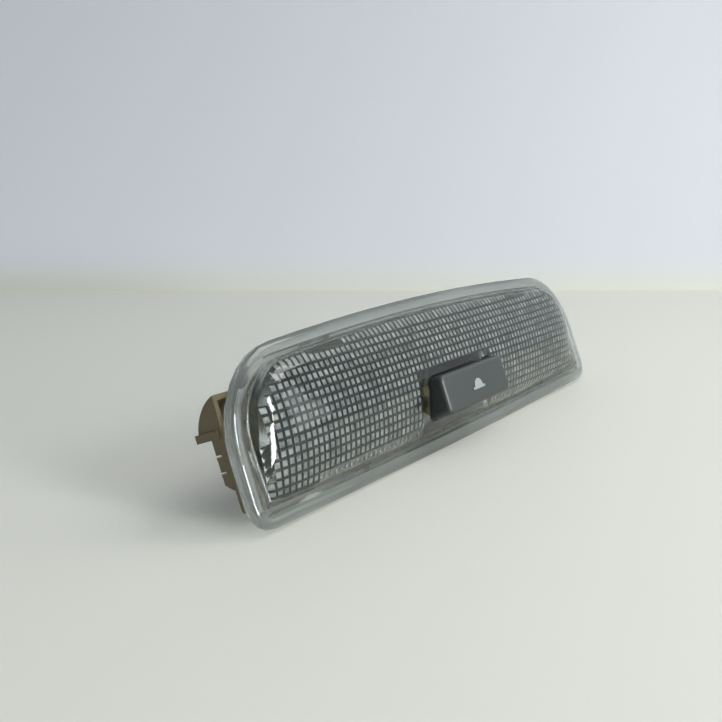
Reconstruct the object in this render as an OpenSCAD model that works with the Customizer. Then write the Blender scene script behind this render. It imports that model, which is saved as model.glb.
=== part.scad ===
// Car interior light: a long clear lens with a prism field and one push button,
// snapped on a beige housing that holds two festoon bulbs, their contacts and the switch.
// Each piece is drawn on the face of the light: X along it, Y up it, Z out of it towards the viewer.
// stand() then leans the whole light back on its lower rim and its switch box, as it rests on a table.

/* [Lens outline] */
// Length of the lens over its rim
lens_l = 176; // [164:1:190]
// Height of the lens at the middle of its length
lens_h = 42; // [40:0.5:46]
// Radius of the long crown of the top edge
top_edge_r = 995; // [800:5:1400]
// Radius of the long crown of the lower edge
low_edge_r = 4800; // [3000:50:9000]
// Radius of the two top corners
top_corner_r = 22; // [19:0.5:22]
// Radius of the two lower corners
low_corner_r = 5.4; // [4.5:0.1:7]

/* [Lens section] */
// Thickness of the rim behind the flange plane
lip_t = 1.2; // [0.9:0.1:1.6]
// Height of the rounded rim over the flange plane
rim_h = 1.1; // [0.6:0.1:1.6]
// Height of the dome over the flange plane
dome_h = 5.1; // [4.4:0.1:6]
// Radius of the dome across the face
dome_r = 34; // [32:0.5:44]
// Place of the ridge of the dome above the middle of the face
dome_y = 2.2; // [1:0.1:3]
// Length over which the dome rounds down at each end
dome_end = 16; // [10:1:20]
// Thickness of the dome
lens_t = 2.4; // [2:0.1:2.8]
// Depth of the skirt behind the rim
skirt_d = 2.8; // [2:0.1:3]
// Thickness of the skirt
skirt_t = 1.4; // [1:0.1:1.5]
// Distance of the skirt from the edge of the rim
skirt_in = 2.4; // [2:0.1:2.6]
// Place of the snap tongues along the lens
tongue_x = 50; // [44:1:54]
// Width of a snap tongue
tongue_w = 11; // [8:0.5:14]

/* [Prisms] */
// Pitch of the prisms
prism_p = 2; // [1.8:0.1:3]
// Depth of the prisms
prism_d = 0.7; // [0.3:0.05:0.9]
// Distance of the prism field from the ends of the rim
field_end = 8; // [7.8:0.1:11]

/* [Button] */
// Length of the button
button_l = 34.8; // [30:0.2:36]
// Height of the button
button_h = 10.8; // [10:0.2:11.2]
// Place of the button below the middle of the face
button_low = 7; // [6.8:0.1:7.2]
// Height of the button's face over the flange plane
button_face = 8.75; // [8:0.05:10]
// Wall of the button
button_t = 1.2; // [1:0.1:1.6]
// Gap between the button and its aperture
button_gap = 0.6; // [0.4:0.05:0.9]
// Travel of the button
button_travel = 2; // [1:0.1:2]
// Radius of the button's corners
button_r = 1.8; // [1.5:0.1:2.4]
// Size of the bevel round the button's face
button_edge = 0.4; // [0.2:0.1:0.8]
// Width of the lamp symbol
symbol_w = 6.4; // [5:0.2:8]
// Height of the lamp symbol over the button's face
symbol_t = 0.15; // [0.1:0.05:0.3]

/* [Housing] */
// Wall of the housing
wall = 1.2; // [1:0.1:1.3]
// Depth of the back of the tray behind the flange plane
tray_back = 7; // [6.8:0.1:7.4]
// Thickness of the floor of the tray
floor_t = 1.4; // [1:0.1:1.8]
// Outer radius of the bulb trough
trough_r = 11.3; // [10.9:0.1:11.5]
// Place of the bulb trough below the middle of the face
trough_low = 0.3; // [0:0.1:0.6]
// Place of the middle of the trough's arc behind the flange plane
trough_back = 2.5; // [2.2:0.1:2.8]
// Distance of the outer face of a trough's end from the end of the lens
trough_end = 4.5; // [4.4:0.1:5]
// Gap between the skirt of the lens and the housing
tray_gap = 0.5; // [0.4:0.05:0.7]
// Inner length of the switch box
box_l = 43.2; // [43:0.2:44]
// Inner height of the switch box
box_h = 11.4; // [11.4:0.1:11.8]
// Depth of the switch box behind the flange plane
box_back = 19.2; // [18.6:0.1:21]

/* [Bulbs] */
// Place of each bulb along the light
bulb_x = 48; // [47.5:0.1:48.5]
// Radius of the glass
glass_r = 5; // [4:0.1:5.5]
// Length of the glass
glass_l = 27; // [25:0.5:28]
// Length of the bulb from the tip of one cap to the tip of the other
bulb_l = 38.4; // [37.6:0.1:39]
// Radius of the caps
cap_r = 4; // [3.6:0.1:4.2]
// Place of the bulb's axis behind the flange plane
bulb_back = 4.2; // [4:0.1:4.6]
// Radius of the reflectors
mirror_r = 10; // [9.6:0.1:10]
// Thickness of the reflectors
mirror_t = 0.4; // [0.3:0.1:0.5]
// Length of a reflector
mirror_l = 34; // [28:1:36]

/* [Contacts] */
// Thickness of the terminals and rails
strip_t = 0.8; // [0.6:0.1:0.9]
// Thickness of the sprung contacts
leaf_t = 0.5; // [0.3:0.1:0.6]
// Width of a terminal blade
blade_w = 2.8; // [2.2:0.1:3]
// Place of the long blade above the middle of the face
blade_long_y = 2.3; // [2.1:0.1:2.6]
// Place of the upper short blade below the middle of the face
blade_mid_low = 3.3; // [3:0.1:3.6]
// Place of the lower short blade below the middle of the face
blade_low_low = 7.1; // [6.8:0.1:7.4]
// Distance that the two short blades stand out of the housing
blade_out = 2.7; // [2:0.1:4]
// Distance that the long blade stands out of its ledge
long_blade_out = 3.4; // [2:0.1:5]

/* [Hidden] */
$fn = 48;
over = 0.5;
clear = 0.3;

// Lens outline, worked out from its arcs
half_l = lens_l / 2;
half_h = lens_h / 2;
top_mid = half_h - top_edge_r;
low_mid = low_edge_r - half_h;
corner_x = half_l - top_corner_r;
corner_y = top_mid + sqrt(pow(top_edge_r - top_corner_r, 2) - pow(corner_x, 2));
corner_end = atan2(corner_y - top_mid, corner_x);
corner_steps = 8;
low_steps = 4;
side_steps = 4;
tongue_slope = 0.6;
tongue_a = tongue_x - tongue_w / 2;
tongue_b = tongue_x + tongue_w / 2;
stations = [tongue_b + tongue_slope, tongue_b, tongue_a, tongue_a - tongue_slope, 32, 18, 8];

// The height of the edges at a place x, with the outline taken in by d
function top_at(x, d) = top_mid + sqrt(pow(top_edge_r - d, 2) - x * x);
function low_at(x, d) = low_mid - sqrt(pow(low_edge_r - d, 2) - x * x);

// Right half of the outline, from the middle of the lower edge to the middle of the top edge.
// It is taken in by d along the long edges and by e at the ends.
function low_round(d) = max(low_corner_r - d, 1);
function half_outline(d, e) = let (
    rx = low_round(e),
    ry = low_round(d),
    cx = half_l - e - rx,
    cy = low_at(cx, d) + ry
) concat(
    [[0, low_at(0, d)]],
    [for (i = [len(stations) - 1:-1:0]) [stations[i], low_at(stations[i], d)]],
    [[half_l - top_corner_r + 4, low_at(half_l - top_corner_r + 4, d)]],
    [for (i = [0:low_steps]) let (a = 90 * (i / low_steps - 1)) [cx + rx * cos(a), cy + ry * sin(a)]],
    [for (i = [1:side_steps - 1]) [half_l - e, cy + (corner_y - cy) * i / side_steps]],
    [for (i = [0:corner_steps]) let (a = corner_end * i / corner_steps)
        [corner_x + (top_corner_r - e) * cos(a), corner_y + (top_corner_r - d) * sin(a)]],
    [for (x = stations) [x, top_at(x, d)]],
    [[0, top_at(0, d)]]
);
function outline(d, e) = let (h = half_outline(d, e)) concat(
    h,
    [for (i = [len(h) - 2:-1:1]) [-h[i].x, h[i].y]]
);
outline_n = len(outline(0, 0));

// True where a point of the outline lies on a snap tongue
function on_tongue(x) = abs(x) > tongue_a - 0.01 && abs(x) < tongue_b + 0.01;

// Dome of the lens: a round crown across the face that rounds down at both ends
dome_half = half_l - 6;
end_start = dome_half - dome_end;
function crown(y) = dome_h - dome_r + sqrt(dome_r * dome_r - pow(y - dome_y, 2));
function end_fall(x) = let (s = max(0, (abs(x) - end_start) / dome_end)) sqrt(max(0, 1 - pow(s, 2.5)));
function dome_z(x, y) = crown(y) * end_fall(x);

// Insets of the skirt, of the tray behind it and of the prism field that clears the tray
skirt_out = skirt_in + skirt_t;
tray_in = skirt_out + tray_gap;
tray_inner = tray_in + wall;
field_in = tray_inner + 0.3;

// Aperture of the button
hole_x = button_l / 2 + button_gap;
hole_y0 = -button_low - button_h / 2 - button_gap;
hole_y1 = -button_low + button_h / 2 + button_gap;
hole_cut = 0.8;
frame_d = 2.4;

// Grid of the prism field, laid out from the aperture outwards
field_half = half_l - field_end;
field_low = low_at(0, field_in);
hole_cols = 2 * round(hole_x / prism_p);
hole_rows = round((hole_y1 - hole_y0) / prism_p);
side_cols = round((field_half - hole_x) / prism_p);
rows_under = max(1, round((hole_y0 - field_low) / prism_p));
rows_over = ceil((top_at(0, field_in) - hole_y1) / prism_p - 0.25);
side_p = (field_half - hole_x) / side_cols;
cols = concat(
    [for (i = [0:side_cols - 1]) -field_half + i * side_p],
    [for (i = [0:hole_cols]) hole_x * (2 * i / hole_cols - 1)],
    [for (i = [1:side_cols]) hole_x + i * side_p]
);
rows = concat(
    [for (i = [0:rows_under - 1]) hole_y0 - (rows_under - i) * prism_p],
    [for (i = [0:hole_rows]) hole_y0 + (hole_y1 - hole_y0) * i / hole_rows],
    [for (i = [1:rows_over]) hole_y1 + i * prism_p]
);
row_n = len(rows);
hole_r0 = rows_under;
hole_r1 = rows_under + hole_rows;

// Columns of the smooth outer face, which needs fewer of them between the ends
outer_step = 4;
hole_next = hole_x * (1 - 2 / hole_cols);
outer_cols = [for (i = [0:len(cols) - 1])
    let (x = cols[i], out = round((abs(x) - hole_x) / side_p))
    if (abs(x) < 0.01 || abs(x) > end_start - prism_p || abs(abs(x) - hole_next) < 0.01
        || (abs(x) > hole_x - 0.01 && out % outer_step == 0)) x];

// Top of the field at a place x, and the row that a column ends on
function field_top(x) = abs(x) < corner_x
    ? top_at(x, field_in)
    : corner_y + (top_corner_r - field_in)
        * sqrt(max(0, 1 - pow((abs(x) - corner_x) / (top_corner_r - field_end), 2)));
function last_row(x) = let (top = field_top(x), over_rows = [for (i = [1:row_n - 1]) if (rows[i] < top - 0.25 * prism_p) i])
    min(row_n - 1, len(over_rows) + 1);
function row_y(x, k) = k == 0 ? low_at(x, field_in) : k >= last_row(x) ? field_top(x) : rows[k];
function in_hole(x, k) = abs(x) < hole_x - 0.01 && k >= hole_r0 && k < hole_r1;
function by_hole(x, k) = abs(x) < hole_x + 0.01 && k >= hole_r0 && k <= hole_r1;
function hole_corner(x, k) = abs(abs(x) - hole_x) < 0.01 && (k == hole_r0 || k == hole_r1);

// One face of the field as points: z falls by drop, and by fall more at the edge of the aperture
function grid_point(x, k, drop, fall) = let (
    y = row_y(x, k),
    nip = hole_corner(x, k) ? hole_cut : 0,
    px = x - sign(x) * nip,
    py = y + (k == hole_r0 ? nip : -nip)
) [px, py, dome_z(x, y) - drop - (by_hole(x, k) ? fall : 0)];
function grid_points(xs, drop, fall) = [for (x = xs) for (k = [0:row_n - 1]) grid_point(x, k, drop, fall)];
function grid_id(xs, j, k) = j * row_n + min(k, last_row(xs[j]));

// Loops of a field's point numbers: round its edge, and round the aperture
function edge_loop(xs) = let (n = len(xs), m = (n - 1) / 2) concat(
    [for (j = [m:n - 1]) grid_id(xs, j, 0)],
    [for (k = [1:last_row(xs[n - 1])]) grid_id(xs, n - 1, k)],
    [for (j = [n - 2:-1:0]) grid_id(xs, j, row_n - 1)],
    [for (k = [last_row(xs[0]) - 1:-1:1]) grid_id(xs, 0, k)],
    [for (j = [0:m - 1]) grid_id(xs, j, 0)]
);
function hole_loop(xs) = let (
    js = [for (j = [0:len(xs) - 1]) if (abs(xs[j]) < hole_x + 0.01) j],
    n = len(js),
    m = (n - 1) / 2
) concat(
    [for (i = [m:n - 1]) grid_id(xs, js[i], hole_r0)],
    [for (k = [hole_r0 + 1:hole_r1]) grid_id(xs, js[n - 1], k)],
    [for (i = [n - 2:-1:0]) grid_id(xs, js[i], hole_r1)],
    [for (k = [hole_r1 - 1:-1:hole_r0]) grid_id(xs, js[0], k)],
    [for (i = [1:1:m - 1]) grid_id(xs, js[i], hole_r0)]
);

// Direction of a point seen from a middle, from 0 at the bottom round to 360, in a squared-up frame
function turn_of(p, mid, size) = (atan2((p.y - mid.y) / size.y, (p.x - mid.x) / size.x) + 450) % 360;

// Triangles that join loop a to loop b, whose points need not match in number.
// ta and tb are the directions of their points, and both loops start at 0.
function ahead(tb, t) = len([for (v = tb) if (v <= t) 1]) - 1;
function joined(a, b, ta, tb) = let (
    na = len(a),
    nb = len(b),
    mid = [for (i = [0:na - 1]) (ta[i] + (i < na - 1 ? ta[i + 1] : 360)) / 2],
    f = [for (m = mid) ahead(tb, m)]
) concat(
    [for (i = [0:na - 1]) [a[i], a[(i + 1) % na], b[f[i]]]],
    [for (i = [0:na - 1]) let (from = i == 0 ? f[na - 1] - nb : f[i - 1])
        for (j = [from:1:f[i] - 1]) [a[i], b[(j + 1 + nb) % nb], b[(j + nb) % nb]]]
);

// Four-sided bands between loops of equal number, as triangles
function band(a, b, n) = [for (i = [0:n - 1]) let (k = (i + 1) % n)
    for (t = [[a + i, a + k, b + k], [a + i, b + k, b + i]]) t];

// Section of the lens from the inner foot of the dome, round the skirt and rim, to the dome.
// Each entry is the inset on the long edges, the inset at the ends and the height.
rim_back = -lip_t;
rim_nose = 0.35;
tongue_d = 5.6;
hook = 1.1;
lens_rings = concat(
    [
        [for (p = outline(tray_inner + 0.1, field_end - 0.6)) [p.x, p.y, rim_back]],
        [for (p = outline(skirt_out, skirt_out)) [p.x, p.y, rim_back]],
        [for (p = outline(skirt_out, skirt_out)) [p.x, p.y, rim_back - (on_tongue(p.x) ? skirt_d + 0.9 : skirt_d - 0.9)]]
    ],
    [let (plain = outline(skirt_out, skirt_out), out = outline(skirt_out + hook, skirt_out + hook))
        [for (i = [0:outline_n - 1]) on_tongue(plain[i].x)
            ? [out[i].x, out[i].y, rim_back - skirt_d - 1.5]
            : [plain[i].x, plain[i].y, rim_back - skirt_d + 0.4]]],
    [
        [for (p = outline(skirt_out + 0.05, skirt_out + 0.05)) [p.x, p.y, rim_back - (on_tongue(p.x) ? tongue_d : skirt_d)]],
        [for (p = outline(skirt_in, skirt_in)) [p.x, p.y, rim_back - (on_tongue(p.x) ? tongue_d : skirt_d)]],
        [for (p = outline(skirt_in, skirt_in)) [p.x, p.y, rim_back]],
        [for (p = outline(0.25, 0.25)) [p.x, p.y, rim_back]],
        [for (p = outline(0, 0)) [p.x, p.y, rim_back + rim_nose]],
        [for (p = outline(0, 0)) [p.x, p.y, 0.1]],
        [for (p = outline(0.5, 0.6)) [p.x, p.y, 0.7 * rim_h]],
        [for (p = outline(1.6, 2)) [p.x, p.y, rim_h]],
        [for (p = outline(2.9, 3.6)) [p.x, p.y, 0.7 * rim_h]],
        [for (p = outline(3.8, 5.1)) [p.x, p.y, 0.1]],
        [for (p = outline(field_in - 1.4, field_end - 2)) [p.x, p.y, 0]],
        [for (p = outline(field_in - 0.9, field_end - 1.4)) [p.x, p.y, 0.15 + 0.85 * max(0, dome_z(p.x, p.y))]]
    ]
);
ring_n = len(lens_rings);

// All points of the lens: inner face, prism tips, outer face, rings
inner_pts = grid_points(cols, lens_t, frame_d);
tip_pts = [for (j = [0:len(cols) - 2]) for (k = [0:row_n - 2])
    let (
        x = (cols[j] + cols[j + 1]) / 2,
        y = (row_y(cols[j], k) + row_y(cols[j + 1], k) + row_y(cols[j], k + 1) + row_y(cols[j + 1], k + 1)) / 4
    ) [x, y, dome_z(x, y) - lens_t - prism_d]];
outer_pts = grid_points(outer_cols, 0, 0);
tip_base = len(inner_pts);
outer_base = tip_base + len(tip_pts);
ring_base = outer_base + len(outer_pts);

// A cell carries a prism if it is whole and doesn't meet the frame of the aperture
function plain_cell(xs, j, k) = let (a = xs[j], b = xs[j + 1])
    by_hole(a, k) || by_hole(b, k) || by_hole(a, k + 1) || by_hole(b, k + 1)
    || k >= last_row(a) - (field_top(a) - rows[last_row(a) - 1] < 0.6 * prism_p ? 1 : 0)
    || k >= last_row(b) - (field_top(b) - rows[last_row(b) - 1] < 0.6 * prism_p ? 1 : 0);
function flat_cell(p, q, r, s) = concat(
    q == r ? [] : [[p, q, r]],
    p == s ? [] : [[p, r, s]]
);
inner_faces = [for (j = [0:len(cols) - 2]) for (k = [0:row_n - 2])
    let (
        x = (cols[j] + cols[j + 1]) / 2,
        p = grid_id(cols, j, k),
        q = grid_id(cols, j, k + 1),
        r = grid_id(cols, j + 1, k + 1),
        s = grid_id(cols, j + 1, k),
        t = tip_base + j * (row_n - 1) + k
    )
    if (!in_hole(x, k))
        each plain_cell(cols, j, k)
            ? (p == q ? (r == s ? [] : [[p, r, s]]) : r == s ? [[p, q, r]] : [[p, q, r], [p, r, s]])
            : [[p, q, t], [q, r, t], [r, s, t], [s, p, t]]];
outer_faces = [for (j = [0:len(outer_cols) - 2]) for (k = [0:row_n - 2])
    let (
        x = (outer_cols[j] + outer_cols[j + 1]) / 2,
        p = outer_base + grid_id(outer_cols, j, k),
        q = outer_base + grid_id(outer_cols, j + 1, k),
        r = outer_base + grid_id(outer_cols, j + 1, k + 1),
        s = outer_base + grid_id(outer_cols, j, k + 1)
    )
    if (!in_hole(x, k)) each flat_cell(p, q, r, s)];

// Joints between the patches and the rings
lens_pts = concat(inner_pts, tip_pts, outer_pts, [for (r = lens_rings) each r]);
function turns(ids, mid, size) = [for (i = ids) turn_of(lens_pts[i], mid, size)];
function ring_ids(i) = [for (k = [0:outline_n - 1]) ring_base + i * outline_n + k];
function shifted(ids, by) = [for (i = ids) i + by];
function join_loops(a, b, mid, size) = joined(a, b, turns(a, mid, size), turns(b, mid, size));
hole_mid = [0, (hole_y0 + hole_y1) / 2];
hole_size = [hole_x, (hole_y1 - hole_y0) / 2];
lens_size = [half_l, half_h];
lens_faces = concat(
    inner_faces,
    outer_faces,
    join_loops(edge_loop(cols), ring_ids(0), [0, 0], lens_size),
    [for (i = [0:ring_n - 2]) each band(ring_base + i * outline_n, ring_base + (i + 1) * outline_n, outline_n)],
    join_loops(ring_ids(ring_n - 1), shifted(edge_loop(outer_cols), outer_base), [0, 0], lens_size),
    join_loops(shifted(hole_loop(outer_cols), outer_base), hole_loop(cols), hole_mid, hole_size)
);

// Housing
floor_z = -tray_back + floor_t;
tray_face = rim_back;
trough_out = half_l - trough_end;
trough_in_r = trough_r - wall;
box_x = box_l / 2;
box_y0 = -button_low - box_h / 2;
box_y1 = -button_low + box_h / 2;
box_wall_x = box_x + wall;
tip_out = bulb_x + bulb_l / 2;
tip_in = bulb_x - bulb_l / 2;
bay_in = tip_in - 1.6;
bay_out = tip_out + 3.3;
web = 4.7;
bay_wall = bay_in - wall;

// Resting pose: the light leans back on its lower rim and the lower edge of its switch box
rim_low_z = rim_back + rim_nose;
lean = atan((half_h + box_y0 - wall) / (box_back + rim_low_z));
z_shift = half_h * cos(lean) - rim_low_z * sin(lean);
front_y = (-button_low - button_h / 2 + button_edge) * sin(lean) - button_face * cos(lean);
rear_y = (box_y1 + wall) * sin(lean) + box_back * cos(lean);
y_shift = -(front_y + rear_y) / 2;

// Connector
rail_w = 1.1;
recess_z = -9.8;
recess_x = bay_out + 1.5;
recess_low = -13;
ledge_y0 = blade_long_y - 1.1;
ledge_y1 = blade_long_y + 0.8;
ledge_z = -13.9;
ledge_proud = 0.6;
corner_in = top_corner_r - tray_inner;
strip_top = blade_long_y + rail_w / 2;
blade_x0 = 0.2 - corner_x - sqrt(corner_in * corner_in - pow(strip_top - corner_y, 2));
blade_x1 = blade_x0 + blade_w;
long_tip = ledge_z - long_blade_out;
short_tip = recess_z - blade_out;
notch_h = 0.6;
notch_d = 1.6;
hollow_y = 4.4;

// Rails
rail_top = floor_z + strip_t;
rail_up = 10.3;
rail_low1 = -12.2;
rail_low2 = -14.3;
riser_x = bay_out + 0.9;

// Contacts and switch
contact_w = 6;
contact_top = 3;
contact_low = 4.2;
arm_w = 2;
arm_low = -5.5;
arm_foot = bay_wall - 1.6;
fixed_w = 4.2;
fixed_low = -12.2;
fixed_foot = 2.3;
cover_t = 1.2;
button_back = -3.4;
flange_back = button_back - 1.2;
stem_back = -9;
stem_x = 7;
stem_y = 4;
bore_r = 3.2;
bore_end = -6;
moving_t = 0.5;
moving_x = box_x - 1;
fixed_z = stem_back - moving_t - button_travel - 0.2;
spring_r = 2.6;
spring_wire = 0.3;
spring_turns = 6;
spring_steps = 12;
spring_back = -box_back + cover_t;

// Leans the light from the face frame into its resting pose
module stand() {
    translate([0, y_shift, z_shift])
        rotate([90 - lean, 0, 0])
            children();
}

// A block given by its limits along each axis
module slab(x, y, z) {
    translate([x[0], y[0], z[0]])
        cube([x[1] - x[0], y[1] - y[0], z[1] - z[0]]);
}

// A plate with the outline of the light, taken in by d
module loaf(d, z) {
    translate([0, 0, z[0]])
        linear_extrude(z[1] - z[0])
            polygon(outline(d, d));
}

// A round bar along the light on the axis of the troughs, behind a given plane
module trough(x, r, front) {
    intersection() {
        translate([x[0], -trough_low, -trough_back])
            rotate([0, 90, 0])
                cylinder(r = r, h = x[1] - x[0], $fn = 96);
        slab([x[0] - 1, x[1] + 1], [-20, 20], [-30, front]);
    }
}

// Turned piece on a bulb's axis: the profile holds [radius, place along the bulb]
module turned(at, side, profile) {
    translate([at, -trough_low, -bulb_back])
        rotate([0, side * 90, 0])
            rotate_extrude($fn = 64)
                polygon(profile);
}

// A rounded plate in the place of the button, taken in by d
module button_plate(d, z) {
    w = button_l / 2 - button_r;
    h = button_h / 2 - button_r;
    translate([0, -button_low, z[0]])
        linear_extrude(z[1] - z[0])
            hull()
                for (x = [-w, w]) for (y = [-h, h])
                    translate([x, y])
                        circle(r = button_r - d, $fn = 32);
}

// Clear lens with its rim, skirt, snap tongues and prism field, moulded as one piece
module lens() {
    color([0.82, 0.85, 0.84])
        stand()
            polyhedron(points = lens_pts, faces = [for (f = lens_faces) [f[0], f[2], f[1]]], convexity = 8);
}

// Pocket in the side of the housing that takes the hook of a snap tongue
module hook_pocket(x, top) {
    y = top ? [5, 25] : [-25, -5];
    intersection() {
        difference() {
            loaf(tray_in - 2, [-tray_back + 0.5, rim_back - skirt_d + 0.2]);
            loaf(tray_in + 0.85, [-tray_back - 1, rim_back + 1]);
        }
        slab([x - tongue_w / 2 - 1, x + tongue_w / 2 + 1], y, [-20, 0]);
    }
}

// Beige housing: tray, two bulb troughs, switch box and connector bay
module housing() {
    color([0.66, 0.61, 0.5])
        stand()
            difference() {
                union() {
                    loaf(tray_in, [-tray_back, tray_face]);
                    trough([-trough_out, -bay_wall], trough_r, floor_z - 0.1);
                    trough([bay_wall, trough_out], trough_r, floor_z - 0.1);
                    slab([-box_wall_x, box_wall_x], [box_y0 - wall, box_y1 + wall], [-box_back, floor_z]);
                    slab([-trough_out - ledge_proud, -recess_x], [ledge_y0, ledge_y1], [ledge_z, -tray_back]);
                }
                loaf(tray_inner, [floor_z, tray_face + over]);
                trough([-bay_out, -bay_in], trough_in_r, floor_z + over);
                trough([bay_in, bay_out], trough_in_r, floor_z + over);
                trough([bay_out + web, trough_out - wall], trough_in_r, floor_z + over);
                intersection() {
                    trough([-trough_out + wall, -bay_out - web], trough_in_r, floor_z + over);
                    slab([-90, 0], [hollow_y, 20], [-30, 0]);
                }
                slab([-box_x, box_x], [box_y0, box_y1], [-box_back - over, floor_z + over]);
                slab([-trough_out - 2, -recess_x], [recess_low, ledge_y0], [-20, recess_z]);
                for (y = [blade_long_y, -blade_mid_low, -blade_low_low])
                    slab([blade_x0, blade_x1], [y - strip_t / 2, y + strip_t / 2], [-20, floor_z + over]);
                for (y = [-blade_mid_low, -blade_low_low])
                    slab(
                        [-trough_out - 2, blade_x1],
                        [y + strip_t / 2, y + strip_t / 2 + notch_h],
                        [-20, recess_z + notch_d]
                    );
                for (x = [-tongue_x, tongue_x]) for (top = [false, true])
                    hook_pocket(x, top);
            }
}

// Black push button, a hollow cap with a bevelled face
module button() {
    color([0.1, 0.1, 0.1])
        stand()
            difference() {
                union() {
                    button_plate(0, [button_back, button_face - button_edge]);
                    hull() {
                        button_plate(0, [button_face - button_edge - 0.1, button_face - button_edge]);
                        button_plate(button_edge, [button_face - 0.1, button_face]);
                    }
                }
                button_plate(button_t, [button_back - over, button_face - button_t]);
            }
}

// Pale lamp symbol on the button: a round shade over a base line
module button_symbol() {
    color([0.85, 0.85, 0.83])
        stand()
            translate([0, -button_low - 0.9, button_face])
                linear_extrude(symbol_t) {
                    intersection() {
                        circle(r = 0.34 * symbol_w, $fn = 32);
                        translate([-symbol_w / 2, 0])
                            square([symbol_w, symbol_w]);
                    }
                    translate([-symbol_w / 2, -0.7])
                        square([symbol_w, 0.7]);
                }
}

// Plunger plugged into the back of the button, with a bore for the return spring
module plunger() {
    color([0.85, 0.84, 0.8])
        stand()
            difference() {
                union() {
                    button_plate(button_t + 0.2, [button_back, button_back + 2]);
                    button_plate(button_t - 0.4, [flange_back, button_back]);
                    slab([-stem_x, stem_x], [-button_low - stem_y, -button_low + stem_y], [stem_back, flange_back]);
                }
                translate([0, -button_low, stem_back - over])
                    cylinder(r = bore_r, h = bore_end - stem_back + over);
            }
}

// Sprung strip that the plunger carries from contact to contact
module moving_contact() {
    color([0.78, 0.66, 0.4])
        stand()
            difference() {
                slab(
                    [-moving_x, moving_x],
                    [-button_low - stem_y, -button_low + stem_y],
                    [stem_back - moving_t, stem_back]
                );
                translate([0, -button_low, stem_back - moving_t - over])
                    cylinder(r = bore_r, h = moving_t + 2 * over);
            }
}

// Coil spring that pushes the button out
function coil_point(i, k) = let (
    n = spring_turns * spring_steps,
    a = 360 * i / spring_steps,
    z0 = spring_back + spring_wire,
    z1 = bore_end - spring_wire,
    r = spring_r + spring_wire * cos(60 * k)
) [r * cos(a), r * sin(a) - button_low, z0 + (z1 - z0) * i / n + spring_wire * sin(60 * k)];
module return_spring() {
    n = spring_turns * spring_steps;
    color([0.75, 0.76, 0.78])
        stand()
            polyhedron(
                points = [for (i = [0:n]) for (k = [0:5]) coil_point(i, k)],
                faces = concat(
                    [[5, 4, 3, 2, 1, 0]],
                    [for (i = [0:n - 1]) for (k = [0:5]) let (a = 6 * i, b = 6 * i + 6, m = (k + 1) % 6)
                        each [[a + k, b + m, b + k], [a + k, a + m, b + m]]],
                    [[for (k = [0:5]) 6 * n + k]]
                ),
                convexity = 12
            );
}

// Fixed contact on a side wall of the switch box, with a foot under the moving strip
module fixed_contact(side) {
    color([0.78, 0.66, 0.4])
        stand()
            mirror([side < 0 ? 1 : 0, 0, 0]) {
                slab([box_x - strip_t, arm_foot], [fixed_low, fixed_low + rail_w], [floor_z, rail_top]);
                slab([box_x - strip_t, box_x], [fixed_low, fixed_low + fixed_w], [fixed_z - strip_t, rail_top]);
                slab(
                    [box_x - strip_t - fixed_foot, box_x],
                    [fixed_low, fixed_low + fixed_w],
                    [fixed_z - strip_t, fixed_z]
                );
            }
}
module fixed_contact_left() {
    fixed_contact(-1);
}
module fixed_contact_right() {
    fixed_contact(1);
}

// Lid that closes the back of the switch box and carries the return spring
module switch_cover() {
    color([0.6, 0.56, 0.46])
        stand() {
            slab([-box_x, box_x], [box_y0, box_y1], [-box_back, spring_back]);
            translate([0, -button_low, spring_back])
                cylinder(r = spring_r - spring_wire - 0.2, h = 1.5);
        }
}

// A terminal: a blade, a strip along the floor from it, and a riser to its rail
module terminal(y, tip, turn_x, turn_y, rail_x, rail_y) {
    color([0.55, 0.56, 0.5])
        stand() {
            slab([blade_x0, blade_x1], [y - strip_t / 2, y + strip_t / 2], [tip, rail_top]);
            slab([blade_x0, turn_x + rail_w], [y - rail_w / 2, y + rail_w / 2], [floor_z, rail_top]);
            slab([turn_x, turn_x + rail_w], turn_y, [floor_z, rail_top]);
            slab([turn_x, rail_x], [rail_y, rail_y + rail_w], [floor_z, rail_top]);
        }
}

// Supply: the long blade and the upper rail, which ends at the far outer contact
module terminal_supply() {
    terminal(blade_long_y, long_tip, -riser_x - rail_w, [blade_long_y, rail_up + rail_w], riser_x + rail_w, rail_up);
    color([0.55, 0.56, 0.5])
        stand()
            slab([riser_x, riser_x + rail_w], [blade_long_y - rail_w / 2, rail_up + rail_w], [floor_z, rail_top]);
}

// Door contact: the upper short blade and the inner lower rail
module terminal_door() {
    terminal(
        -blade_mid_low, short_tip, -recess_x - 4.2,
        [rail_low1, -blade_mid_low], -arm_foot, rail_low1
    );
}

// Ground: the lower short blade and the outer lower rail, which rises again beyond the switch box
module terminal_ground() {
    terminal(
        -blade_low_low, short_tip, -recess_x - 6.6,
        [rail_low2, -blade_low_low], arm_foot + rail_w, rail_low2
    );
    color([0.55, 0.56, 0.5])
        stand()
            slab([arm_foot, arm_foot + rail_w], [rail_low2, fixed_low + rail_w], [floor_z, rail_top]);
}

// Link between the two inner contacts, with an arm down into the switch box
module link_rail() {
    color([0.78, 0.66, 0.4])
        stand() {
            slab([-arm_foot, arm_foot], [box_y1 + wall + 1.2, box_y1 + wall + 2.3], [floor_z, rail_top]);
            slab([-arm_foot, -arm_foot + 1.2], [arm_low, box_y1 + wall + 2.3], [floor_z, rail_top]);
            slab([-arm_foot, -box_x + strip_t], [arm_low, arm_low + arm_w], [floor_z, rail_top]);
            slab([-box_x, -box_x + strip_t], [arm_low, arm_low + arm_w], [fixed_z - strip_t, rail_top]);
        }
}

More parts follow.
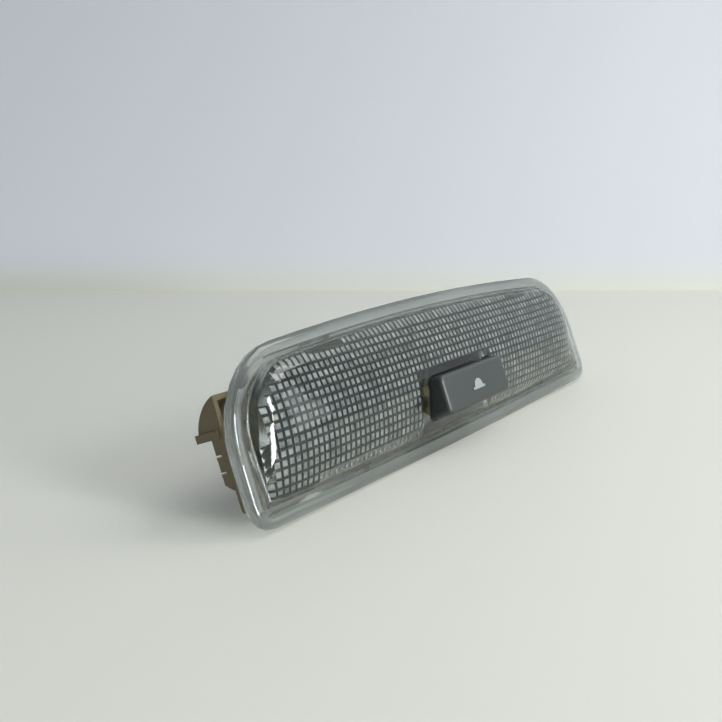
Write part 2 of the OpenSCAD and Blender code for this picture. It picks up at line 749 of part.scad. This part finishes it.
// Sprung contact that holds one cap of a bulb, with its foot on the floor of the tray
module bulb_contact(side, leaf_x, foot_x) {
    y = [-trough_low - contact_w / 2, -trough_low + contact_w / 2];
    color([0.78, 0.66, 0.4])
        stand()
            mirror([side < 0 ? 1 : 0, 0, 0]) {
                slab([min(leaf_x), max(leaf_x)], y, [-bulb_back - contact_low, -bulb_back + contact_top]);
                slab([min(leaf_x[0], foot_x), max(leaf_x[0], foot_x)], y, [floor_z, floor_z + leaf_t]);
            }
}
module contact_left_outer() {
    bulb_contact(-1, [tip_out, tip_out + leaf_t], riser_x);
}
module contact_left_inner() {
    bulb_contact(-1, [tip_in, tip_in - leaf_t], arm_foot);
}
module contact_right_inner() {
    bulb_contact(1, [tip_in, tip_in - leaf_t], arm_foot);
}
module contact_right_outer() {
    bulb_contact(1, [tip_out, tip_out + leaf_t], riser_x);
}

// Bright half-round reflector in a trough, hung on the floor of the tray by two lips
module reflector(at) {
    x = [at - mirror_l / 2, at + mirror_l / 2];
    depth = -floor_z - trough_back;
    wide = sqrt(mirror_r * mirror_r - depth * depth);
    inner = sqrt(pow(mirror_r - mirror_t, 2) - depth * depth);
    color([0.86, 0.87, 0.88])
        stand() {
            difference() {
                trough(x, mirror_r, floor_z + mirror_t);
                trough([x[0] - 1, x[1] + 1], mirror_r - mirror_t, floor_z + 1);
            }
            slab(x, [-trough_low + inner, -trough_low + wide + 0.8], [floor_z, floor_z + mirror_t]);
            slab(x, [-trough_low - wide - 0.8, -trough_low - inner], [floor_z, floor_z + mirror_t]);
        }
}
module reflector_left() {
    reflector(-bulb_x);
}
module reflector_right() {
    reflector(bulb_x);
}

// Glass tube of a festoon bulb, drawn in at both ends
module bulb_glass(at) {
    h = glass_l / 2;
    t = 0.6;
    color([0.9, 0.93, 0.95])
        stand()
            turned(at, 1, [
                [cap_r - 0.1, -h], [glass_r - 0.6, -h + 0.9], [glass_r, -h + 2.1],
                [glass_r, h - 2.1], [glass_r - 0.6, h - 0.9], [cap_r - 0.1, h],
                [cap_r - 0.1 - t, h], [glass_r - 0.6 - t, h - 1.1], [glass_r - t, h - 2.4],
                [glass_r - t, -h + 2.4], [glass_r - 0.6 - t, -h + 1.1], [cap_r - 0.1 - t, -h]
            ]);
}
module bulb_glass_left() {
    bulb_glass(-bulb_x);
}
module bulb_glass_right() {
    bulb_glass(bulb_x);
}

// Filament between the caps of a bulb
module filament(at) {
    color([0.5, 0.48, 0.45])
        stand()
            turned(at, 1, [[0, -glass_l / 2], [0.2, -glass_l / 2], [0.2, glass_l / 2], [0, glass_l / 2]]);
}
module filament_left() {
    filament(-bulb_x);
}
module filament_right() {
    filament(bulb_x);
}

// Metal cap of a festoon bulb, which ends in a blunt cone
module bulb_cap(at, side) {
    a = glass_l / 2;
    b = bulb_l / 2;
    color([0.8, 0.78, 0.7])
        stand()
            turned(at, side, [[0, a], [cap_r, a], [cap_r, b - 2], [1.8, b - 0.8], [1, b], [0, b]]);
}
module bulb_cap_left_outer() {
    bulb_cap(-bulb_x, -1);
}
module bulb_cap_left_inner() {
    bulb_cap(-bulb_x, 1);
}
module bulb_cap_right_inner() {
    bulb_cap(bulb_x, -1);
}
module bulb_cap_right_outer() {
    bulb_cap(bulb_x, 1);
}

// Steel leaf at the far end that keeps the light in the headliner
module retaining_spring() {
    a = half_l - tray_in;
    z = rim_back - skirt_d - 0.4;
    color([0.7, 0.71, 0.72])
        stand()
            translate([0, 4, 0])
                rotate([90, 0, 0])
                    linear_extrude(8)
                        polygon([
                            [a, z], [a + 0.5, z], [a + 0.5, -tray_back + 0.2], [a + 3.4, -tray_back - 2.8],
                            [a + 0.7, -tray_back - 6], [a + 0.3, -tray_back - 5.7], [a + 2.7, -tray_back - 2.8],
                            [a, -tray_back + 0.1]
                        ]);
}

lens();
housing();
button();
button_symbol();
plunger();
moving_contact();
return_spring();
fixed_contact_left();
fixed_contact_right();
switch_cover();
terminal_supply();
terminal_door();
terminal_ground();
link_rail();
contact_left_outer();
contact_left_inner();
contact_right_inner();
contact_right_outer();
reflector_left();
reflector_right();
bulb_glass_left();
bulb_glass_right();
filament_left();
filament_right();
bulb_cap_left_outer();
bulb_cap_left_inner();
bulb_cap_right_inner();
bulb_cap_right_outer();
retaining_spring();
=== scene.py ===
# Car interior light: a long clear lens with a prism field and a black push button,
# on a beige housing with two festoon bulbs. It leans on its lower rim and switch box.
import bmesh
import bpy
import math
from mathutils import Matrix, Vector


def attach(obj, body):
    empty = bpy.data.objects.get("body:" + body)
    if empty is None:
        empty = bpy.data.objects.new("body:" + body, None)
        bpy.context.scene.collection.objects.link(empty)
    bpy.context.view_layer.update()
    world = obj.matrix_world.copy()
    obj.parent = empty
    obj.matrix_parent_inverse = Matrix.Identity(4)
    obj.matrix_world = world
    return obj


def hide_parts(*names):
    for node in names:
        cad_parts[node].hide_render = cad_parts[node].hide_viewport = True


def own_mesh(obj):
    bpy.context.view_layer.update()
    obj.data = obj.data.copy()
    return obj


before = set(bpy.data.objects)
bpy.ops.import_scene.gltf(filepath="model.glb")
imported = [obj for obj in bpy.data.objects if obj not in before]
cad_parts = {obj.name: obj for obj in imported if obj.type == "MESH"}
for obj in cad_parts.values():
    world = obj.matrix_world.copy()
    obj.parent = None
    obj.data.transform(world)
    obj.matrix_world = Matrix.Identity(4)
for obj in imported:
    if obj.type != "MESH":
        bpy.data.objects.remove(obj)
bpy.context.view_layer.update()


# Table, wall and lamps
# A pale laminate table top, with a matt wall standing on its far edge. Soft daylight is
# on the right, and a window in two panes and a small warm bulb are behind the camera.
TABLE_W, TABLE_D, WALL_H = 3.2, 2.1, 1.1
WALL_Y = 0.289
HEADING = math.radians(-54.56)


def pick(obj, kind, wanted):
    """Selects the vertices, edges or faces of obj, in edit mode, that pass the test."""
    bpy.ops.mesh.select_mode(type=kind)
    bpy.ops.mesh.select_all(action="DESELECT")
    mesh = bmesh.from_edit_mesh(obj.data)
    for part in {"VERT": mesh.verts, "EDGE": mesh.edges, "FACE": mesh.faces}[kind]:
        part.select = wanted(part)
    mesh.select_flush_mode()
    bmesh.update_edit_mesh(obj.data)


def new_material(name):
    mat = bpy.data.materials.new(name)
    mat.use_nodes = True
    return mat, mat.node_tree.nodes, mat.node_tree.links, mat.node_tree.nodes["Principled BSDF"]


def two_tone(nodes, first, second):
    """Node that runs from the first colour at factor 0 to the second at 1."""
    tone = nodes.new("ShaderNodeMix")
    tone.data_type = "RGBA"
    tone.inputs["A"].default_value = (*first, 1)
    tone.inputs["B"].default_value = (*second, 1)
    return tone


def spread_over(nodes, low, high, start=0, end=1):
    """Node that gives low where its value is start and high where it is end."""
    spread = nodes.new("ShaderNodeMapRange")
    spread.inputs["From Min"].default_value = start
    spread.inputs["From Max"].default_value = end
    spread.inputs["To Min"].default_value = low
    spread.inputs["To Max"].default_value = high
    return spread


def both(nodes, operation):
    """Node that joins two values: MAXIMUM takes the higher, MULTIPLY their product."""
    joined = nodes.new("ShaderNodeMath")
    joined.operation = operation
    return joined


bpy.ops.object.select_all(action="DESELECT")
bpy.ops.mesh.primitive_plane_add(size=1)
table = bpy.context.object
table.name = "table"
table.dimensions = (TABLE_W, TABLE_D, 0)
table.location = (0, WALL_Y - TABLE_D / 2, 0)
bpy.ops.object.transform_apply(location=True, scale=True)
bpy.ops.object.mode_set(mode="EDIT")
pick(table, "VERT", lambda v: v.co.y > WALL_Y / 2)
bpy.ops.mesh.extrude_region_move(TRANSFORM_OT_translate={"value": (0, 0, WALL_H)})
bpy.ops.object.mode_set(mode="OBJECT")
table.rotation_euler = (0, 0, HEADING)
bpy.ops.object.transform_apply(rotation=True)
bpy.ops.object.shade_smooth_by_angle(angle=math.radians(30))

# The tone of the table turns into that of the wall over the lowest 20 mm
mat, nodes, links, shader = new_material("pale_laminate")
shader.inputs["Roughness"].default_value = 0.55
where = nodes.new("ShaderNodeTexCoord")
rise = nodes.new("ShaderNodeSeparateXYZ")
wall_part = spread_over(nodes, 0, 1, start=0.0005, end=0.02)
tone = two_tone(nodes, (0.71, 0.715, 0.645), (0.51, 0.53, 0.56))
links.new(where.outputs["Object"], rise.inputs[0])
links.new(rise.outputs["Z"], wall_part.inputs["Value"])
links.new(wall_part.outputs["Result"], tone.inputs["Factor"])
links.new(tone.outputs["Result"], shader.inputs["Base Color"])
# A painted glow on the wall, brightest low down, which only the camera, gloss and glass see
seen = nodes.new("ShaderNodeLightPath")
direct = both(nodes, "MAXIMUM")
mirrored = both(nodes, "MAXIMUM")
on_wall = both(nodes, "MULTIPLY")
painted_wall_glow = both(nodes, "MULTIPLY")
glow_by_height = spread_over(nodes, 0.17, 0.03, end=0.30)
links.new(rise.outputs["Z"], glow_by_height.inputs["Value"])
links.new(glow_by_height.outputs["Result"], painted_wall_glow.inputs[1])
links.new(seen.outputs["Is Camera Ray"], direct.inputs[0])
links.new(seen.outputs["Is Glossy Ray"], direct.inputs[1])
links.new(direct.outputs[0], mirrored.inputs[0])
links.new(seen.outputs["Is Transmission Ray"], mirrored.inputs[1])
links.new(mirrored.outputs[0], on_wall.inputs[0])
links.new(wall_part.outputs["Result"], on_wall.inputs[1])
links.new(on_wall.outputs[0], painted_wall_glow.inputs[0])
links.new(painted_wall_glow.outputs[0], shader.inputs["Emission Strength"])
shader.inputs["Emission Color"].default_value = (0.95, 1.0, 1.1, 1)
table.data.materials.append(mat)


def lamp(name, size, place, aim, power, colour):
    data = bpy.data.lights.new(name, "AREA")
    data.shape = "RECTANGLE"
    data.size, data.size_y = size
    data.energy = power
    data.color = colour
    obj = bpy.data.objects.new(name, data)
    obj.location = place
    obj.rotation_euler = (Vector(aim) - Vector(place)).to_track_quat("-Z", "Y").to_euler()
    obj.visible_camera = False
    bpy.context.collection.objects.link(obj)


PANE = (0.96, 0.98, 1.0)
NEAR_END = (-0.08, 0, 0.02)
lamp("daylight_right", (0.42, 0.42), (0.40, -0.25, 0.62), (0, 0, 0), 2.3, (1.0, 0.99, 0.95))
lamp("room_right", (0.9, 0.6), (1.0, -0.75, 0.36), (0, 0, 0.02), 2.2, (0.95, 1.0, 0.98))
lamp("window_upper", (0.11, 0.15), (0.03, -0.58, 0.35), NEAR_END, 1.3, PANE)
lamp("window_lower", (0.15, 0.20), (-0.08, -0.68, 0.13), NEAR_END, 2.3, PANE)
lamp("warm_bulb", (0.035, 0.035), (-0.02, -0.62, 0.25), NEAR_END, 0.09, (1.0, 0.80, 0.50))

# The room is bright on the right and dim on the left. Seen straight or through glass,
# it is never darker than a pale tone
world = bpy.data.worlds.new("room_light")
bpy.context.scene.world = world
world.use_nodes = True
nodes, links = world.node_tree.nodes, world.node_tree.links
where = nodes.new("ShaderNodeTexCoord")
along = nodes.new("ShaderNodeVectorMath")
along.operation = "DOT_PRODUCT"
along.inputs[1].default_value = (0.80, -0.35, 0.49)
daylight = spread_over(nodes, 0.22, 0.88, start=-0.7)
links.new(where.outputs["Generated"], along.inputs[0])
links.new(along.outputs["Value"], daylight.inputs["Value"])
seen = nodes.new("ShaderNodeLightPath")
direct = both(nodes, "MAXIMUM")
pale = both(nodes, "MULTIPLY")
pale.inputs[1].default_value = 0.65
either = both(nodes, "MAXIMUM")
links.new(seen.outputs["Is Camera Ray"], direct.inputs[0])
links.new(seen.outputs["Is Transmission Ray"], direct.inputs[1])
links.new(direct.outputs[0], pale.inputs[0])
links.new(pale.outputs[0], either.inputs[0])
links.new(daylight.outputs["Result"], either.inputs[1])
links.new(either.outputs[0], nodes["Background"].inputs["Strength"])
nodes["Background"].inputs["Color"].default_value = (0.90, 0.94, 1.0, 1)
bpy.context.scene.view_settings.view_transform = "Standard"

# The photograph's view: close by, about 55 degrees round and 13 degrees up
camera_data = bpy.data.cameras.new("photo_view")
camera = bpy.data.objects.new("photo_view", camera_data)
camera_data.sensor_width = 36
camera_data.lens = 44.875
camera_data.clip_start = 0.01
camera.location = (-0.2168, -0.1278, 0.0770)
camera.rotation_euler = Vector((0.7950, 0.5659, -0.2184)).to_track_quat("-Z", "Y").to_euler()
bpy.context.collection.objects.link(camera)
bpy.context.scene.camera = camera


# Lens
# One clear moulding: a rolled rim, a crowned dome that is smooth outside, a field
# of small pyramids inside, and a skirt with four tongues that snap on the housing.
LEAN = math.radians(90 - 21.1525)
LIGHT_FRAME = Matrix.Translation((0, -0.0026898, 0.0198918)) @ Matrix.Rotation(LEAN, 4, "X")
BEHIND = LIGHT_FRAME.to_3x3() @ Vector((0, 0, -1))
CELL_AREA = 6e-6
LEAST_TIP = 0.0002
GROOVE_W, GROOVE_DEPTH = 0.0004, 0.0006
FOOT_R = 0.0008
RIM_BACK, AT_FOOT = -0.0009, 0.00003
OPENING_X, OPENING_LOW, OPENING_TOP = 0.0186, -0.0136, -0.0004
# How squarely a face looks back: 1 straight back, 0 sideways, -1 out of the face
TIP_SLANT, CELL_SLANT, SIDE_SLANT, BACK_SLANT, FRONT_SLANT = 0.45, 0.3, 0.3, 0.05, -0.12
CLEAR, FROSTED, GROOVE, TOP, MARGIN = range(5)


def on_face(point):
    """Place in the light's own frame: x along it, y up its face, z out of the face."""
    return LIGHT_FRAME.inverted() @ Vector(point)


def merged_copy(node, name):
    """Copy of a CAD node with its loose triangles joined into one skin."""
    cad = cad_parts[node]
    piece = cad.copy()
    piece.data = cad.data.copy()
    piece.parent = None
    piece.name = name
    piece.data.materials.clear()
    bpy.context.collection.objects.link(piece)
    bpy.ops.object.select_all(action="DESELECT")
    piece.select_set(True)
    bpy.context.view_layer.objects.active = piece
    bpy.ops.object.mode_set(mode="EDIT")
    bpy.ops.mesh.select_all(action="SELECT")
    bpy.ops.mesh.remove_doubles(threshold=1e-6)
    bpy.ops.object.mode_set(mode="OBJECT")
    if piece.data.has_custom_normals:
        bpy.ops.mesh.customdata_custom_splitnormals_clear()
    return piece


def is_tip(v):
    """True at the tip of a pyramid, which stands back from its four corners."""
    if len(v.link_edges) != 4 or v.normal.dot(BEHIND) <= TIP_SLANT:
        return False
    height = on_face(v.co).z
    return all(on_face(e.other_vert(v).co).z > height + LEAST_TIP for e in v.link_edges)


def is_cell(f):
    """True on the flat cell that is left of a pyramid without its tip."""
    square_on = f.normal.dot(BEHIND) > CELL_SLANT
    return len(f.verts) == 4 and square_on and f.calc_area() < CELL_AREA


def finish_of(f):
    """Number of the finish of a face of the lens. The cells are selected."""
    place = on_face(f.calc_center_median())
    slant = f.normal.dot(BEHIND)
    in_opening = abs(place.x) < OPENING_X and OPENING_LOW < place.y < OPENING_TOP
    if f.select:
        return GROOVE
    # The sides of the button's opening and the plain inside get a darker tint, which is painted
    # shade
    if in_opening and abs(slant) < SIDE_SLANT:
        return MARGIN
    if place.z < RIM_BACK:
        return FROSTED
    return MARGIN if slant > BACK_SLANT else CLEAR


# Each pyramid becomes a small block with a groove round it, as the field reads from outside.
# The groove walls are dark and opaque: painted shade
lens = merged_copy("lens", "lens_moulding")
bpy.ops.object.mode_set(mode="EDIT")
pick(lens, "VERT", is_tip)
bpy.ops.mesh.dissolve_verts()
pick(lens, "FACE", is_cell)
mesh = bmesh.from_edit_mesh(lens.data)
for f in mesh.faces:
    f.material_index = finish_of(f)
bmesh.update_edit_mesh(lens.data)
bpy.ops.mesh.inset(thickness=GROOVE_W, depth=GROOVE_DEPTH, use_individual=True)
mesh = bmesh.from_edit_mesh(lens.data)
for f in mesh.faces:
    if f.select:
        f.material_index = TOP
# The dome runs into the rim with a small round, and its outside is smooth throughout
pick(lens, "EDGE", lambda e: all(abs(on_face(v.co).z) < AT_FOOT for v in e.verts))
bpy.ops.mesh.bevel(offset=FOOT_R, segments=4, affect="EDGES", clamp_overlap=True)
bpy.ops.object.mode_set(mode="OBJECT")
bpy.ops.object.shade_smooth_by_angle(angle=math.radians(28))
bpy.ops.object.mode_set(mode="EDIT")
pick(lens, "EDGE", lambda e: all(f.normal.dot(BEHIND) < FRONT_SLANT for f in e.link_faces))
bpy.ops.mesh.mark_sharp(clear=True)
bpy.ops.object.mode_set(mode="OBJECT")


def let_light_in(nodes, links, shader, colour):
    """Lets the light of the lamps through a clear piece, so that what is inside is lit."""
    path = nodes.new("ShaderNodeLightPath")
    through = nodes.new("ShaderNodeBsdfTransparent")
    through.inputs["Color"].default_value = (*colour, 1)
    choice = nodes.new("ShaderNodeMixShader")
    links.new(path.outputs["Is Shadow Ray"], choice.inputs[0])
    links.new(shader.outputs[0], choice.inputs[1])
    links.new(through.outputs[0], choice.inputs[2])
    links.new(choice.outputs[0], nodes["Material Output"].inputs["Surface"])


def polycarbonate(name, dark, pale, roughness, clear, grain):
    mat, nodes, links, shader = new_material(name)
    shader.inputs["Transmission Weight"].default_value = clear
    shader.inputs["IOR"].default_value = 1.5
    where = nodes.new("ShaderNodeTexCoord")
    # Fine spots of tone at random; on the prism tops they run from grey to white and are
    # painted sparkle
    film_and_sparkle = nodes.new("ShaderNodeTexNoise")
    film_and_sparkle.inputs["Scale"].default_value = grain
    film_and_sparkle.inputs["Detail"].default_value = 3
    spots = spread_over(nodes, 0, 1, start=0.35, end=0.65)
    tint = two_tone(nodes, dark, pale)
    wiped = spread_over(nodes, *roughness)
    links.new(where.outputs["Object"], film_and_sparkle.inputs["Vector"])
    links.new(film_and_sparkle.outputs["Fac"], spots.inputs["Value"])
    links.new(spots.outputs["Result"], tint.inputs["Factor"])
    links.new(tint.outputs["Result"], shader.inputs["Base Color"])
    links.new(film_and_sparkle.outputs["Fac"], wiped.inputs["Value"])
    links.new(wiped.outputs["Result"], shader.inputs["Roughness"])
    let_light_in(nodes, links, shader, (0.72, 0.75, 0.74))
    return mat


# In the order of the finishes' numbers above
for finish in (
        ("clear_polycarbonate", (0.38, 0.415, 0.40), (0.44, 0.475, 0.46), (0.01, 0.03), 1, 70),
        ("frosted_back_of_rim", (0.53, 0.55, 0.53), (0.59, 0.605, 0.58), (0.36, 0.44), 1, 70),
        # Dark and opaque groove walls: painted shade
        ("prism_grooves_painted_shade", (0.045, 0.052, 0.05), (0.055, 0.064, 0.061), (0.3, 0.4), 0, 70),
        # Grey to white in fine spots: painted sparkle on the tops
        ("prism_tops", (0.36, 0.40, 0.39), (1.0, 1.0, 0.97), (0.12, 0.28), 0.55, 420),
        # Darker than the clear moulding: painted shade
        ("smooth_margin_painted_shade", (0.20, 0.225, 0.215), (0.26, 0.29, 0.28), (0.1, 0.2), 1, 70)):
    lens.data.materials.append(polycarbonate(*finish))
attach(lens, "lamp")
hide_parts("lens")


# Housing and switch cover
# Beige polypropylene, moulded with a fine satin skin. Its floor carries the rails,
# and the lid of the switch box is pressed in from behind.
BEIGE, BEIGE_SHADE = (0.145, 0.115, 0.060), (0.115, 0.090, 0.046)


def moulded(name, colour, shade, roughness, grain, bump):
    mat, nodes, links, shader = new_material(name)
    where = nodes.new("ShaderNodeTexCoord")
    cloud = nodes.new("ShaderNodeTexNoise")
    cloud.inputs["Scale"].default_value = 55
    cloud.inputs["Detail"].default_value = 4
    tone = two_tone(nodes, shade, colour)
    fine = nodes.new("ShaderNodeTexNoise")
    fine.inputs["Scale"].default_value = grain
    fine.inputs["Detail"].default_value = 2
    skin = nodes.new("ShaderNodeBump")
    skin.inputs["Strength"].default_value = bump
    skin.inputs["Distance"].default_value = 0.0001
    edge = nodes.new("ShaderNodeBevel")
    edge.samples = 4
    edge.inputs["Radius"].default_value = 0.00025
    rough = spread_over(nodes, roughness - 0.06, roughness + 0.08)
    links.new(where.outputs["Object"], cloud.inputs["Vector"])
    links.new(where.outputs["Object"], fine.inputs["Vector"])
    links.new(cloud.outputs["Fac"], tone.inputs["Factor"])
    links.new(tone.outputs["Result"], shader.inputs["Base Color"])
    links.new(cloud.outputs["Fac"], rough.inputs["Value"])
    links.new(rough.outputs["Result"], shader.inputs["Roughness"])
    links.new(fine.outputs["Fac"], skin.inputs["Height"])
    links.new(edge.outputs["Normal"], skin.inputs["Normal"])
    links.new(skin.outputs["Normal"], shader.inputs["Normal"])
    return mat


def dress(mat, *nodes):
    for node in nodes:
        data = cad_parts[node].data
        data.materials.clear()
        data.materials.append(mat)


dress(moulded("beige_polypropylene", BEIGE, BEIGE_SHADE, 0.42, 2600, 0.35), "housing")
dress(moulded("beige_lid", BEIGE, BEIGE_SHADE, 0.45, 2600, 0.35), "switch_cover")


# Reflectors
# Two half-round pressings of bright aluminium, one in each trough, hung on the floor
# of the tray by two lips.
def metal(name, colour, roughness, streak, bump):
    mat, nodes, links, shader = new_material(name)
    shader.inputs["Metallic"].default_value = 1
    where = nodes.new("ShaderNodeTexCoord")
    stretch = nodes.new("ShaderNodeMapping")
    stretch.inputs["Scale"].default_value = streak
    lines = nodes.new("ShaderNodeTexNoise")
    lines.inputs["Scale"].default_value = 1
    lines.inputs["Detail"].default_value = 3
    tone = two_tone(nodes, [0.72 * c for c in colour], colour)
    rough = spread_over(nodes, roughness - 0.08, roughness + 0.12)
    skin = nodes.new("ShaderNodeBump")
    skin.inputs["Strength"].default_value = bump
    skin.inputs["Distance"].default_value = 0.00005
    edge = nodes.new("ShaderNodeBevel")
    edge.samples = 4
    edge.inputs["Radius"].default_value = 0.0001
    links.new(where.outputs["Object"], stretch.inputs["Vector"])
    links.new(stretch.outputs["Vector"], lines.inputs["Vector"])
    links.new(lines.outputs["Fac"], tone.inputs["Factor"])
    links.new(tone.outputs["Result"], shader.inputs["Base Color"])
    links.new(lines.outputs["Fac"], rough.inputs["Value"])
    links.new(rough.outputs["Result"], shader.inputs["Roughness"])
    links.new(lines.outputs["Fac"], skin.inputs["Height"])
    links.new(edge.outputs["Normal"], skin.inputs["Normal"])
    links.new(skin.outputs["Normal"], shader.inputs["Normal"])
    return mat


dress(metal("bright_aluminium", (0.82, 0.83, 0.84), 0.22, (60, 900, 900), 0.2),
      "reflector_left", "reflector_right")


# Terminals
# Three blades cut and folded from dull tinned strip. Each runs along the floor of the
# tray and rises to its rail.
dress(metal("dull_tinned_strip", (0.25, 0.255, 0.22), 0.42, (500, 500, 2500), 0.4),
      "terminal_supply", "terminal_door", "terminal_ground")


# Sprung contacts
# Brass strip, bent to hold the bulbs and to carry the current to the switch. The
# plunger carries the moving one from contact to contact.
dress(metal("sprung_brass", (0.62, 0.54, 0.36), 0.34, (900, 900, 900), 0.3),
      "contact_left_outer", "contact_left_inner", "contact_right_inner", "contact_right_outer",
      "fixed_contact_left", "fixed_contact_right", "moving_contact", "link_rail")


# Springs
# Bright spring steel: the leaf at the far end, which keeps the light in the headliner,
# and the coil between lid and plunger, which takes up the stroke of the button.
BUTTON_Y = -0.007
steel = metal("spring_steel", (0.55, 0.555, 0.56), 0.28, (1200, 1200, 1200), 0.2)
dress(steel, "retaining_spring")

coil = merged_copy("return_spring", "button_coil")
bpy.ops.object.shade_smooth_by_angle(angle=math.radians(65))
coil.data.materials.append(steel)
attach(coil, "lamp")
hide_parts("return_spring")
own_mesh(coil)


# Bulbs
# Festoon bulbs: a clear glass tube that is drawn in at both ends, a filament and plain
# metal caps with a blunt cone, each held by a sprung contact.
dress(metal("bulb_cap_metal", (0.72, 0.70, 0.65), 0.3, (400, 400, 400), 0.2),
      "bulb_cap_left_outer", "bulb_cap_left_inner",
      "bulb_cap_right_inner", "bulb_cap_right_outer")
dress(metal("tungsten_wire", (0.32, 0.31, 0.30), 0.4, (3000, 3000, 3000), 0.2),
      "filament_left", "filament_right")

mat, nodes, links, shader = new_material("bulb_glass_clear")
shader.inputs["Base Color"].default_value = (0.97, 0.98, 0.98, 1)
shader.inputs["Transmission Weight"].default_value = 1
shader.inputs["IOR"].default_value = 1.5
where = nodes.new("ShaderNodeTexCoord")
drawn = nodes.new("ShaderNodeTexNoise")
drawn.inputs["Scale"].default_value = 160
wavy = nodes.new("ShaderNodeBump")
wavy.inputs["Strength"].default_value = 0.2
wavy.inputs["Distance"].default_value = 0.0002
dull = spread_over(nodes, 0.005, 0.05)
links.new(where.outputs["Object"], drawn.inputs["Vector"])
links.new(drawn.outputs["Fac"], wavy.inputs["Height"])
links.new(wavy.outputs["Normal"], shader.inputs["Normal"])
links.new(drawn.outputs["Fac"], dull.inputs["Value"])
links.new(dull.outputs["Result"], shader.inputs["Roughness"])
let_light_in(nodes, links, shader, (0.92, 0.93, 0.93))
dress(mat, "bulb_glass_left", "bulb_glass_right")


# Button
# A hollow cap moulded in black plastic, with a softly rounded edge and a satin face.
# The plunger is plugged into its back.
CAP_W, CAP_H, CAP_DEPTH = 0.0348, 0.0108, 0.01215
CAP_FACE = 0.00875
CAP_WALL = 0.0012
CORNER_R, FACE_R = 0.0018, 0.0013


def on_edge_of_face(e):
    """True round the cap's face, where a flat front meets a side."""
    at_front = all(v.co.z > CAP_FACE - 0.00005 for v in e.verts)
    return at_front and sum(f.normal.z < 0.9 for f in e.link_faces) == 1


bpy.ops.object.select_all(action="DESELECT")
bpy.ops.mesh.primitive_cube_add(size=1)
cap = bpy.context.object
cap.name = "button_cap"
cap.dimensions = (CAP_W, CAP_H, CAP_DEPTH)
cap.location = (0, BUTTON_Y, CAP_FACE - CAP_DEPTH / 2)
bpy.ops.object.transform_apply(location=True, scale=True)
bpy.ops.object.mode_set(mode="EDIT")
pick(cap, "EDGE", lambda e: abs(e.verts[0].co.z - e.verts[1].co.z) > CAP_DEPTH / 2)
bpy.ops.mesh.bevel(offset=CORNER_R, segments=8, affect="EDGES")
pick(cap, "EDGE", on_edge_of_face)
bpy.ops.mesh.bevel(offset=FACE_R, segments=6, affect="EDGES")
pick(cap, "FACE", lambda f: f.normal.z < -0.9)
bpy.ops.mesh.inset(thickness=CAP_WALL)
bpy.ops.mesh.extrude_region_move(TRANSFORM_OT_translate={"value": (0, 0, CAP_DEPTH - CAP_WALL)})
bpy.ops.object.mode_set(mode="OBJECT")
bpy.ops.object.shade_smooth_by_angle(angle=math.radians(35))
satin = moulded("satin_black", (0.009, 0.015, 0.0135), (0.007, 0.011, 0.010), 0.4, 3200, 0.5)
satin.node_tree.nodes["Principled BSDF"].inputs["Specular IOR Level"].default_value = 0.95
cap.data.materials.append(satin)
cap.data.transform(LIGHT_FRAME)
cap.data.update()
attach(cap, "button")
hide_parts("button")


# Lamp symbol, plunger
# A pale print on the button: a round shade over a base line. The plunger is moulded in
# acetal, with a bore for the coil.
dress(moulded("pale_print", (0.31, 0.33, 0.325), (0.25, 0.27, 0.265), 0.5, 3000, 0.2),
      "button_symbol")
dress(moulded("acetal", (0.62, 0.61, 0.56), (0.55, 0.54, 0.5), 0.4, 2000, 0.1), "plunger")
